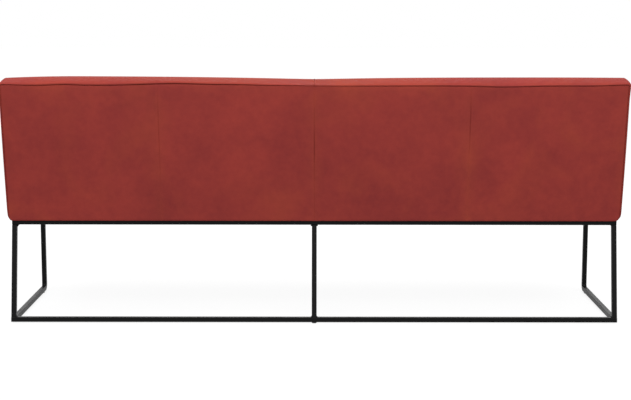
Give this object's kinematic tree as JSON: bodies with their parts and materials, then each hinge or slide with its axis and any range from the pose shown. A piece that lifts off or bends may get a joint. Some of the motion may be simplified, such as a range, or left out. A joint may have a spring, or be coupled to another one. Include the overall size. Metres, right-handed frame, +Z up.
{
  "type": "dining bench with backrest",
  "caption": "Long dining bench with a padded leather seat and a leaning upholstered backrest on a slim black square-tube sled base.",
  "frame": {"origin": "on the floor under the middle of the bench's bounding box", "axes": "+X along the bench to the sitter's left, +Y to the rear (the back leans that way), +Z up"},
  "size_m": [2, 0.61, 0.8],
  "materials": {
    "leather": "soft satin leather, terracotta red",
    "steel": "matt black powder coat",
    "plastic": "matt black",
    "zinc": "zinc plated",
    "wood": "raw beech and plywood",
    "webbing": "woven elastic webbing",
    "foam": "upholstery foam",
    "dust_cloth": "black non-woven cloth"
  },
  "bodies": {
    "bench": {"back_bolts": "zinc", "back_foam_left": "foam", "back_foam_right": "foam", "back_front_panel_left": "leather", "back_front_panel_right": "leather", "back_side_panel_left": "leather", "back_side_panel_right": "leather", "back_top_board": "wood", "back_upright_1": "wood", "back_upright_2": "wood", "back_upright_3": "wood", "back_upright_4": "wood", "back_webbing": "webbing", "base_bolts": "zinc", "centre_top_rail": "steel", "dust_cover": "dust_cloth", "floor_glides": "plastic", "front_sled_left": "steel", "front_sled_right": "steel", "front_top_rail": "steel", "levelling_nut": "zinc", "mounting_tabs": "steel", "rear_centre_leg": "steel", "rear_floor_rail": "steel", "rear_leg_left": "steel", "rear_leg_right": "steel", "rear_padding": "foam", "rear_panel_inner_left": "leather", "rear_panel_inner_right": "leather", "rear_panel_outer_left": "leather", "rear_panel_outer_right": "leather", "rear_top_rail": "steel", "seat_cross_braces": "wood", "seat_foam_left": "foam", "seat_foam_right": "foam", "seat_front_band_left": "leather", "seat_front_band_right": "leather", "seat_front_board": "wood", "seat_mount_blocks": "wood", "seat_rear_board": "wood", "seat_side_board_left": "wood", "seat_side_board_right": "wood", "seat_side_panel_left": "leather", "seat_side_panel_right": "leather", "seat_top_panel_left": "leather", "seat_top_panel_right": "leather", "seat_webbing": "webbing", "side_top_rail_left": "steel", "side_top_rail_right": "steel", "top_band_left": "leather", "top_band_right": "leather", "weld_beads": "steel"},
    "levelling_foot": {"levelling_foot": "plastic"}
  },
  "joints": [
    {"name": "foot_screw", "type": "slide", "parent": "bench", "child": "levelling_foot", "axis": [0, 0, -1], "range_m": [0, 0.006]}
  ]
}
